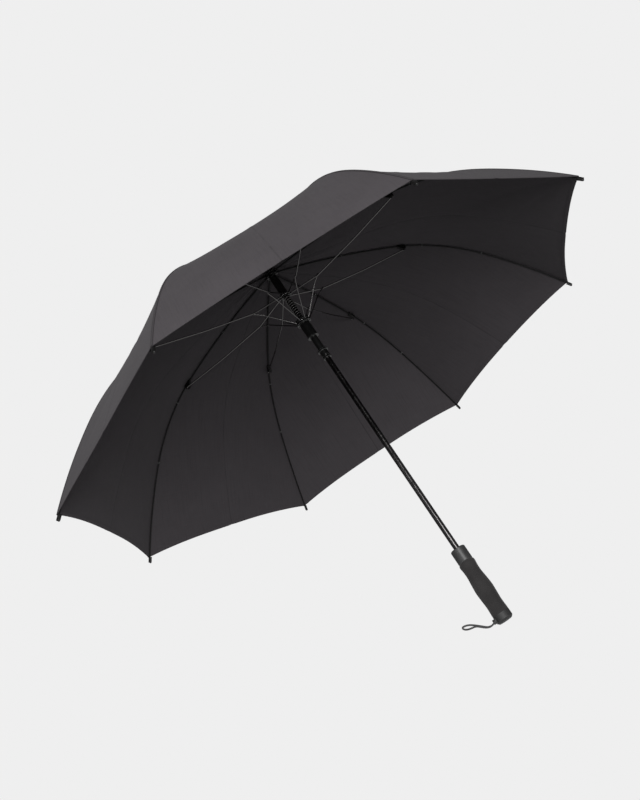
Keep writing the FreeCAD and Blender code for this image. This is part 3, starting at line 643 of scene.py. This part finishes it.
def rib_line(at, drop):
    """Point under the cloth of rib 1, dropped along the cloth's normal."""
    step = 0.5 * MM
    a = np.array([PROFILE_R(at - step), PROFILE_Z(at - step)])
    b = np.array([PROFILE_R(at + step), PROFILE_Z(at + step)])
    along = (b - a) / np.linalg.norm(b - a)
    point = np.array([PROFILE_R(at), PROFILE_Z(at)]) - drop * np.array([-along[1], along[0]])
    return point, along


INNER_ROD_R, OUTER_ROD_R = 1.9 * MM, 1.7 * MM
ROD_DROP = 3.2 * MM        # from the cloth down to the middle of a rib


def thread_tie(at, rod_r):
    """Turns of sewing thread that lash the seam to a rib."""
    turns, per_turn = 5, 20
    point, along = rib_line(at, ROD_DROP)
    out = np.array([-along[1], along[0]])
    centres = []
    for i in range(turns * per_turn + 1):
        a = 2 * math.pi * i / per_turn
        slide = (i / per_turn / turns - 0.5) * 3.6 * MM
        reach = rod_r + 0.35 * MM
        up = math.cos(a) * reach + (1.0 * MM if math.cos(a) > 0.2 else 0)
        flat = point + along * slide + out * up
        centres.append((flat[0], math.sin(a) * reach, flat[1]))
    return centres, [0.3 * MM] * len(centres), 7, False


def turned_to_rib(obj, rib):
    """Turns a piece made along rib 1 to its own rib."""
    obj.data.transform(Matrix.Rotation(rib * STEP, 4, "Z"))


def rib_ties():
    """One tie on each rib's inner part and two on its outer part."""
    for rib in range(RIBS):
        inner = tubes_object(f"tie_inner_{rib + 1}",
                             [thread_tie(KNEE_AT * 0.52, INNER_ROD_R)], CORD)
        outer = tubes_object(f"tie_outer_{rib + 1}",
                             [thread_tie(KNEE_AT + 0.045, OUTER_ROD_R),
                              thread_tie(KNEE_AT + 0.185, OUTER_ROD_R)], CORD)
        for piece, body in ((inner, f"rib_inner_{rib + 1}"), (outer, f"rib_outer_{rib + 1}")):
            turned_to_rib(piece, rib)
            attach(piece, body)


def rib_tips():
    """Turned caps over the ribs' ends, each with a collar and a rounded nose."""
    for rib in range(RIBS):
        co = node_points(f"rib_outer_{rib + 1}")
        flat = np.stack([co @ (math.cos(rib * STEP), math.sin(rib * STEP), 0), co[:, 2]], axis=1)
        end = flat[np.argsort(flat[:, 1])[:24]].mean(axis=0)
        back = CANOPY_LENGTH - 20 * MM
        ahead = np.array([PROFILE_R(CANOPY_LENGTH) - PROFILE_R(back),
                          PROFILE_Z(CANOPY_LENGTH) - PROFILE_Z(back)])
        ahead /= np.linalg.norm(ahead)
        outline = [(0, 1.6), (0.8, 1.5), (1.6, 1.1), (2.2, 0.4), (2.55, -0.6), (2.6, -1.8),
                   (2.6, -9.4), (2.9, -9.8), (2.9, -11.2), (2.5, -11.8), (1.7, -11.9)]
        tip = lathe(f"tip_{rib + 1}", [(r * MM, z * MM) for r, z in outline][::-1], TIP_PAINT, 40)
        turn = Vector((ahead[0], 0, ahead[1])).to_track_quat("Z", "Y").to_matrix().to_4x4()
        tip.data.transform(Matrix.Translation((end[0], 0, end[1])) @ turn)
        turned_to_rib(tip, rib)
        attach(tip, f"rib_outer_{rib + 1}")


# ---------------------------------------------------------------- spring, grip and cord

def opening_spring():
    """The main coil, with closed end turns."""
    low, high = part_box("opening_spring")
    wire_r = 0.9 * MM
    coil_r = high.x - wire_r
    bottom, top = low.z + wire_r, high.z - wire_r
    pitch, per_turn = 5.7 * MM, 40
    closed_turns = 1.5
    body = (top - bottom - 2 * closed_turns * 2 * wire_r) / pitch
    turns = body + 2 * closed_turns
    centres = []
    for i in range(int(turns * per_turn) + 1):
        t = i / per_turn
        rise = 2 * wire_r * min(t, closed_turns)
        rise += pitch * min(max(t - closed_turns, 0), body)
        rise += 2 * wire_r * max(t - closed_turns - body, 0)
        a = 2 * math.pi * t
        centres.append((coil_r * math.cos(a), coil_r * math.sin(a), bottom + rise))
    piece = tubes_object("opening_spring_coils", [(centres, [wire_r] * len(centres), 12, False)],
                         SPRING_BLACK)
    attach(piece, "upper_runner")
    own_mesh(piece)
    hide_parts("opening_spring")


def smooth_outline(points, per_span=10):
    """A rounded outline through (radius, height) points."""
    points = np.array(points, float)
    t = np.arange(len(points), dtype=float)
    r, z = Spline(t, points[:, 0]), Spline(t, points[:, 1])
    fine = np.linspace(0, len(points) - 1, (len(points) - 1) * per_span + 1)
    return list(zip(r(fine), z(fine)))


def foam_grip():
    """The foam sleeve: a bulge for the palm, a waist above it and a rolled top edge."""
    low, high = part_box("foam_grip")
    full, bottom, top = high.x, low.z, high.z
    tall = top - bottom
    side = smooth_outline([
        (0.935 * full, bottom + 0.6 * MM), (0.940 * full, bottom + 0.05 * tall),
        (0.915 * full, bottom + 0.13 * tall), (0.910 * full, bottom + 0.21 * tall),
        (0.955 * full, bottom + 0.32 * tall), (0.995 * full, bottom + 0.43 * tall),
        (0.990 * full, bottom + 0.51 * tall), (0.925 * full, bottom + 0.63 * tall),
        (0.860 * full, bottom + 0.73 * tall), (0.845 * full, bottom + 0.81 * tall),
        (0.872 * full, bottom + 0.89 * tall), (0.912 * full, top - 7 * MM),
        (0.905 * full, top - 3 * MM), (0.845 * full, top - 0.6 * MM)], 8)
    bore = 11.5 * MM
    outline = [(bore, bottom), (0.92 * full, bottom)] + side
    outline += [(0.81 * full, top), (bore, top)]
    piece = lathe("grip_foam", outline, FOAM, 128)
    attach(piece, "shaft")
    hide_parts("foam_grip")


LOOP_TURN = 0.9            # radians that the cord's loop is twisted about its length
CORD_LAY = 5.2 * MM        # length of one turn of the strands
STRANDS = 4


def cord_path():
    """Centre line of the cord: through the lug, along a hanging neck and round a twisted loop."""
    hinge = np.array(JOINTS["cord_swing"]["pos_m"])
    half = [(0, 0, 0), (0, 2.5, 0), (-1.3, 4.0, -0.4), (-3.4, 4.2, -1.2), (-6.2, 3.2, -2.2),
            (-9.4, 2.1, -2.8), (-15.5, 1.8, -2.2), (-22.2, 1.9, 1.2), (-29.0, 1.9, 6.4),
            (-35.5, 2.2, 11.2), (-41.0, 3.8, 14.0), (-46.5, 5.4, 15.8), (-52.8, 5.7, 17.2),
            (-58.0, 3.8, 18.4), (-59.8, 0, 18.8)]
    steps = range(len(half))
    ts = np.linspace(0, len(half) - 1, 240)
    side = np.stack([Spline(steps, [p[k] for p in half])(ts) for k in range(3)], axis=1) * MM
    back = side[-2:0:-1] * np.array([1, -1, 1])
    path = np.concatenate([side, back])
    turn = LOOP_TURN * np.clip((-path[:, 0] - 8 * MM) / (16 * MM), 0, 1)
    path[:, 2] += path[:, 1] * np.sin(turn)
    path[:, 1] *= np.cos(turn)
    return hinge + path


def wrist_cord():
    """A cord of four strands laid in a twist round its centre line."""
    path = cord_path()
    lengths = np.concatenate([[0], np.cumsum(np.linalg.norm(np.diff(path, axis=0), axis=1))])
    total = lengths[-1] + np.linalg.norm(path[0] - path[-1])
    even = np.linspace(0, total, 700, endpoint=False)
    closed = np.concatenate([path, path[:1]])
    at = np.concatenate([lengths, [total]])
    centre = np.stack([np.interp(even, at, closed[:, k]) for k in range(3)], axis=1)
    tangents = np.roll(centre, -2, 0) - np.roll(centre, 2, 0)
    tangents /= np.linalg.norm(tangents, axis=1, keepdims=True)
    lift = np.array([0, 0, 1.0])
    lift = lift - tangents * np.sum(lift * tangents, axis=1, keepdims=True)
    lift /= np.linalg.norm(lift, axis=1, keepdims=True)
    other = np.cross(tangents, lift)
    twists = round(total / CORD_LAY)
    from_lug = np.linalg.norm(centre - centre[0], axis=1)
    thick = 0.70 * MM + 0.18 * MM * np.clip(from_lug / (7 * MM) - 0.4, 0, 1)
    strands = []
    for k in range(STRANDS):
        a = 2 * math.pi * (even / total * twists + k / STRANDS)
        line = centre + (lift * np.cos(a)[:, None] + other * np.sin(a)[:, None]) * thick[:, None]
        strands.append((line, list(thick), 8, True))
    piece = tubes_object("cord_strands", strands, CORD)
    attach(piece, "wrist_cord")
    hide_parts("wrist_cord")


# ---------------------------------------------------------------- CAD nodes' materials

def paint_nodes():
    """Gives each CAD node its own finish; the nodes that are replaced need none."""
    finishes = {
        "shaft_tube": TUBE_PAINT, "notch_pin": STEEL, "top_notch": RUNNER_PLASTIC,
        "notch_wire": STEEL, "top_cap": CAP_PLASTIC, "ferrule": CAP_PLASTIC,
        "upper_runner": RUNNER_PLASTIC, "upper_runner_wire": STEEL,
        "lower_runner": RUNNER_PLASTIC, "lower_runner_wire": STEEL, "handle_core": CAP_PLASTIC,
        "handle_collar": COLLAR_PLASTIC, "end_cap": CAP_PLASTIC, "push_button": BUTTON_PLASTIC,
        "button_spring": STEEL}
    by_start = {"rib_inner_": RIB_PAINT, "rib_outer_": RIB_PAINT, "stretcher_": WIRE_PAINT,
                "strut_": WIRE_PAINT}
    for name, node in NODES.items():
        finish = finishes.get(name)
        for start, rod_finish in by_start.items():
            if name.startswith(start):
                finish = rod_finish
        if finish is not None:
            node.data.materials.clear()
            node.data.materials.append(finish)


# ---------------------------------------------------------------- studio

def world():
    """A bright even backdrop that lights the object a little less than it shows."""
    scene = bpy.context.scene
    scene.world = bpy.data.worlds.new("studio")
    scene.world.use_nodes = True
    tree = scene.world.node_tree
    shown = tree.nodes["Background"]
    shown.inputs["Color"].default_value = (0.863, 0.863, 0.863, 1)
    light = tree.nodes.new("ShaderNodeBackground")
    light.inputs["Color"].default_value = (0.80, 0.80, 0.82, 1)
    light.inputs["Strength"].default_value = 0.23
    path = tree.nodes.new("ShaderNodeLightPath")
    mix = tree.nodes.new("ShaderNodeMixShader")
    tree.links.new(path.outputs["Is Camera Ray"], mix.inputs[0])
    tree.links.new(light.outputs[0], mix.inputs[1])
    tree.links.new(shown.outputs[0], mix.inputs[2])
    tree.links.new(mix.outputs[0], tree.nodes["World Output"].inputs[0])


FLOOR_R, FLOOR_Z = 4.0, -0.8


def floor():
    """A pale round floor below the handle, seen only from above and in reflections."""
    n = Nodes("studio_floor")
    speckle = n.noise(n.place(), 3.0, 4.0)
    n.surface(Base_Color=n.mix(speckle, grey(0.52), grey(0.56)), Roughness=0.8,
              Emission_Color=grey(1.0), Emission_Strength=0.5)
    tree = n.tree
    facing = tree.nodes.new("ShaderNodeNewGeometry")
    clear = tree.nodes.new("ShaderNodeBsdfTransparent")
    mix = tree.nodes.new("ShaderNodeMixShader")
    tree.links.new(facing.outputs["Backfacing"], mix.inputs[0])
    tree.links.new(n.shader.outputs[0], mix.inputs[1])
    tree.links.new(clear.outputs[0], mix.inputs[2])
    tree.links.new(mix.outputs[0], tree.nodes["Material Output"].inputs[0])
    bpy.ops.mesh.primitive_circle_add(vertices=128, radius=FLOOR_R, fill_type="NGON",
                                      location=(0, 0, FLOOR_Z))
    disc = bpy.context.object
    disc.name = "studio_floor"
    disc.data.materials.append(n.material)
    disc.visible_diffuse = False


def area_light(name, place, aim, size, power):
    """A round soft light, size metres across."""
    data = bpy.data.lights.new(name, "AREA")
    data.shape = "DISK"
    data.size = size
    data.energy = power
    lamp = bpy.data.objects.new(name, data)
    lamp.location = place
    lamp.rotation_mode = "QUATERNION"
    lamp.rotation_quaternion = (Vector(aim) - Vector(place)).to_track_quat("-Z", "Y")
    bpy.context.scene.collection.objects.link(lamp)


CAMERA_AT = (-0.7978, -1.7019, -0.1700)
CAMERA_RIGHT = Vector((0.82322, -0.19281, -0.53397))
CAMERA_UP = Vector((0.37606, -0.51942, 0.76732))


def camera():
    """The view from below the rim, with the camera rolled so that the shaft leans."""
    data = bpy.data.cameras.new("camera")
    view = bpy.data.objects.new("camera", data)
    bpy.context.scene.collection.objects.link(view)
    bpy.context.scene.camera = view
    back = CAMERA_RIGHT.cross(CAMERA_UP)
    pose = Matrix((CAMERA_RIGHT, CAMERA_UP, back)).transposed().to_4x4()
    pose.translation = CAMERA_AT
    view.matrix_world = pose
    data.sensor_width = 36
    data.lens = 45.06
    data.shift_x = -0.0685
    data.shift_y = -0.0367
    data.clip_end = 50


def studio():
    world()
    floor()
    area_light("key", (-0.7, -3.15, 0.1), (0, 0, 0.6), 1.6, 100)
    area_light("top", (-2.6, -1.5, 2.3), (0, 0, 0.65), 1.8, 48)
    area_light("back", (1.8, 2.6, 2.2), (0, 0, 0.7), 1.6, 2)
    bpy.context.scene.view_settings.view_transform = "Standard"
    camera()


canopy()
rib_ties()
rib_tips()
opening_spring()
foam_grip()
wrist_cord()
paint_nodes()
studio()
